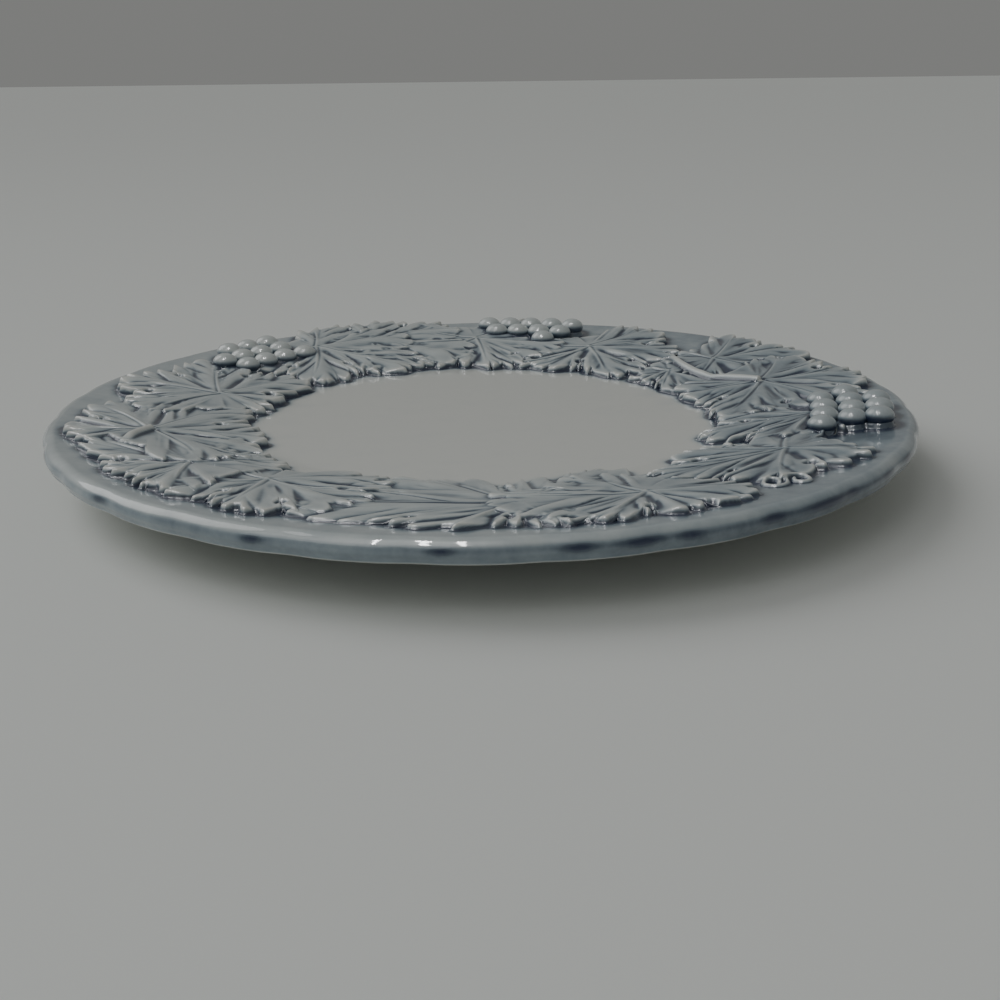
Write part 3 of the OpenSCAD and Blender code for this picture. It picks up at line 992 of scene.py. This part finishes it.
def plate_body(material):
    """The plate: its section turned about the middle, a hair lower under the sprigs, with a dented edge."""
    columns = body_columns
    r, z, top, edge_end = body_profile()
    a = np.linspace(0, 2 * np.pi, columns, endpoint=False)
    pitch = 2 * np.pi / dents
    from_dent = (np.mod(a, pitch) - pitch / 2) * plate_r
    dent = dent_depth * bell(from_dent / dent_width)
    grip = rise(r - bead_mid_r, *dent_grip)
    groove = groove_depth * bell((z - bead_mid_z + groove_drop) / groove_width)
    groove[:top] = 0
    groove[edge_end:] = 0
    away = r[:, None] - grip[:, None] * dent[None, :] - groove[:, None]
    x, y = away * np.cos(a), away * np.sin(a)
    height = np.repeat(z[:, None], columns, 1)
    height[:top] -= cover_sink * (read_nearest(owner, x[:top], y[:top]) > 0)
    shade = read(wash, x, y)
    shade[top:edge_end] = edge_shade(a, x[top:edge_end], z[top:edge_end, None] - bead_mid_z)
    shade[edge_end:] = lip_wash
    bare = np.repeat((z[:, None] < bare_share * foot_bevel).astype(float), columns, 1)
    points = np.stack([x, y, height], -1).reshape(-1, 3)
    points = np.vstack([[[0, 0, z[0]]], points, [[0, 0, under_z]]])
    rows = len(r)
    quads = grid_faces(rows, columns, 1)[:, ::-1]
    last = len(points) - 1
    tris = np.vstack([fan_faces(0, np.arange(1, columns + 1)),
                      fan_faces(last, np.arange(last - columns, last), flip=True)])
    i, j = np.divmod(np.arange(rows * columns), columns)
    flat = np.vstack([[[0.5, 0]], np.stack([j / columns, (i + 1) / (rows + 2)], 1), [[0.5, 1]]])
    uv = flat[np.concatenate([quads.ravel(), tris.ravel()])]
    split = len(quads) * 4
    for part, corners in ((slice(0, split), 4), (slice(split, None), 3)):
        face = uv[part].reshape(-1, corners, 2)
        wraps = np.ptp(face[..., 0], axis=1) > 1 - seam
        face[..., 0] += wraps[:, None] * (face[..., 0] < seam)
    attributes = {
        "wash": np.concatenate([[0], np.clip(shade, 0, 1).ravel(), [under_mid_wash]]),
        "bare": np.concatenate([[0], bare.ravel(), [0]]),
    }
    make_piece("plate_body", points, quads, tris, uv, attributes, material)


class Shade:
    """A socket of a material's tree. Sums on it add Math nodes, and node() adds any other node."""

    def __init__(self, tree, socket):
        self.tree = tree
        self.socket = socket

    def node(self, kind, settings, inputs, output=0):
        """A node with its settings made first, then its sockets given values or links."""
        made = self.tree.nodes.new(kind)
        for key, value in settings.items():
            setattr(made, key, value)
        for key, value in inputs.items():
            if isinstance(value, Shade):
                self.tree.links.new(value.socket, made.inputs[key])
            else:
                made.inputs[key].default_value = value
        return Shade(self.tree, made.outputs[output])

    def math(self, operation, first, second):
        return self.node("ShaderNodeMath", {"operation": operation}, {0: first, 1: second})

    def __add__(self, other):
        return self.math("ADD", self, other)

    def __sub__(self, other):
        return self.math("SUBTRACT", self, other)

    def __mul__(self, other):
        return self.math("MULTIPLY", self, other)

    def __rsub__(self, other):
        return self.math("SUBTRACT", other, self)

    __radd__ = __add__

    def mix(self, first, second):
        """From the first colour to the second as this value goes from 0 to 1."""
        return self.node("ShaderNodeMix", {"data_type": "RGBA"}, {0: self, 6: first, 7: second}, 2)

    def ramp(self, stops):
        """A colour for each of this value's stops."""
        made = self.node("ShaderNodeValToRGB", {}, {0: self})
        ramp = made.socket.node.color_ramp
        while len(ramp.elements) < len(stops):
            ramp.elements.new(0.5)
        for element, (at, colour) in zip(ramp.elements, stops):
            element.position = at
            element.color = (*colour, 1)
        return made

    def noise(self, scale, detail, roughness):
        """Noise at this place."""
        inputs = {"Vector": self, "Scale": scale, "Detail": detail, "Roughness": roughness}
        return self.node("ShaderNodeTexNoise", {}, inputs)


def glaze(name, mottle, polish, bare=False):
    """White glaze that a blue wash has run over: bluer where the wash attribute is high, with a mottle."""
    material = bpy.data.materials.new(name)
    material.use_nodes = True
    tree = material.node_tree
    shader = tree.nodes["Principled BSDF"]
    start = Shade(tree, None)
    place = start.node("ShaderNodeTexCoord", {}, {}, "Object")
    wash_value = start.node("ShaderNodeAttribute", {"attribute_name": "wash"}, {}, "Fac")
    cloud = place.noise(cloud_scale, 4, 0.6)
    speck = place.noise(speck_scale, 2, 0.5)
    level = wash_value + (cloud - 0.5) * mottle * (wash_value + pale_mottle)
    level = level + (speck - 0.5) * speck_mix * wash_value
    colour = level.ramp(GLAZE)
    rough = under_rough + (cloud - 0.5) * rough_mix
    if bare:
        clay = start.node("ShaderNodeAttribute", {"attribute_name": "bare"}, {}, "Fac")
        colour = clay.mix(colour, BISCUIT)
        rough = rough + clay * bare_rough
        tree.links.new((1 - clay).socket, shader.inputs["Coat Weight"])
    else:
        shader.inputs["Coat Weight"].default_value = 1.0
    ripple = place.noise(ripple_scale, 3, 0.55)
    uneven = {"Strength": ripple_strength, "Distance": ripple_h, "Height": ripple}
    bump = start.node("ShaderNodeBump", {}, uneven, "Normal")
    tree.links.new(colour.socket, shader.inputs["Base Color"])
    tree.links.new(rough.socket, shader.inputs["Roughness"])
    tree.links.new(bump.socket, shader.inputs["Normal"])
    shader.inputs["Coat Roughness"].default_value = polish
    shader.inputs["IOR"].default_value = 1.5
    shader.inputs["Specular IOR Level"].default_value = 0.3
    return material


def build_plate():
    """All the pieces, each with its glaze: a name, the strength of the mottle and the polish."""
    leaf_glaze = glaze("leaf_glaze", 0.5, 0.25)
    grape_glaze = glaze("grape_glaze", 0.4, 0.08)
    stalk_glaze = glaze("stalk_glaze", 0.4, 0.2)
    plate_body(glaze("body_glaze", 0.55, 0.045, bare=True))
    for leaf in leaves:
        vine_leaf(leaf, leaf_glaze)
    for seed, bunch in enumerate(bunches):
        grape_bunch(bunch, seed, grape_glaze)
    for stalk in stalks:
        swept_sprig(stalk.name, stalk_path(stalk), stalk_w, stalk_glaze)
    swept_sprig(tendril_name, tendril_path(), tendril_w, stalk_glaze)


def pale_floor():
    """A wide plain floor that the plate stands on."""
    half = floor_half
    mesh = bpy.data.meshes.new("floor")
    corners = [(-half, -half, 0), (half, -half, 0), (half, half, 0), (-half, half, 0)]
    mesh.from_pydata(corners, [], [(0, 1, 2, 3)])
    material = bpy.data.materials.new("pale_floor")
    material.use_nodes = True
    shader = material.node_tree.nodes["Principled BSDF"]
    shader.inputs["Base Color"].default_value = floor_colour
    shader.inputs["Roughness"].default_value = floor_rough
    mesh.materials.append(material)
    floor = bpy.data.objects.new("floor", mesh)
    bpy.context.scene.collection.objects.link(floor)


def aim_lamp(name, lamp, place):
    """Puts a lamp at a place, facing the middle of the plate."""
    holder = bpy.data.objects.new(name, lamp)
    holder.location = place
    holder.rotation_euler = (-Vector(place)).to_track_quat("-Z", "Y").to_euler()
    bpy.context.scene.collection.objects.link(holder)


def soft_sun(name, place, spread, power):
    """A wide sun that lights the whole floor evenly."""
    lamp = bpy.data.lights.new(name, "SUN")
    lamp.angle = np.radians(spread)
    lamp.energy = power
    aim_lamp(name, lamp, place)


def flat_lamp(name, width, height, power):
    """A lamp with a flat rectangular face."""
    lamp = bpy.data.lights.new(name, "AREA")
    lamp.shape = "RECTANGLE"
    lamp.size = width
    lamp.size_y = height
    lamp.energy = power
    return lamp


def area_light(name, place, width, height, power):
    """A flat lamp that faces the plate."""
    aim_lamp(name, flat_lamp(name, width, height, power), place)


def window_light(name, start, end, width, power):
    """A strip above the plate that shows in the glaze and adds no other light."""
    near, far = Vector((*start, window_z)), Vector((*end, window_z))
    holder = bpy.data.objects.new(name, flat_lamp(name, width, (far - near).length, power))
    holder.location = (near + far) / 2
    holder.rotation_euler = (0, 0, np.arctan2(near.x - far.x, far.y - near.y))
    holder.visible_diffuse = False
    bpy.context.scene.collection.objects.link(holder)


def soft_light():
    """A wide sun from the left, a weaker lamp in front, two windows above and a pale sky."""
    soft_sun("left_sun", (-0.9, 0.4, 0.85), 45, 0.88)
    area_light("front", (-0.6, -0.75, 1.0), 1.0, 0.8, 2.6)
    window_light("left_window", (-0.372, -0.72), (-0.205, 0.0), 0.03, 4.5)
    window_light("right_window", (-0.083, -0.72), (-0.06, 0.0), 0.03, 3.6)
    world = bpy.data.worlds.new("studio")
    world.use_nodes = True
    sky = world.node_tree.nodes["Background"]
    sky.inputs["Color"].default_value = sky_colour
    sky.inputs["Strength"].default_value = sky_strength
    bpy.context.scene.world = world


def photo_camera():
    """The camera: its place, its pitch and roll, and a lens whose length is given in pixels of the frame."""
    ahead = np.array([0, np.cos(camera_pitch), -np.sin(camera_pitch)])
    level_up = np.array([0, np.sin(camera_pitch), np.cos(camera_pitch)])
    right = np.cos(camera_roll) * np.array([1.0, 0, 0]) + np.sin(camera_roll) * level_up
    up = np.cross(right, ahead)
    data = bpy.data.cameras.new("camera")
    data.sensor_width = sensor_w
    data.lens = sensor_w * lens_pixels / frame_pixels
    data.clip_start = 0.01
    camera = bpy.data.objects.new("camera", data)
    turn = Matrix((right, up, -ahead)).transposed().to_4x4()
    camera.matrix_world = Matrix.Translation(Vector(camera_at) * MM) @ turn
    bpy.context.scene.collection.objects.link(camera)
    bpy.context.scene.camera = camera


photo_camera()
soft_light()
pale_floor()
build_plate()
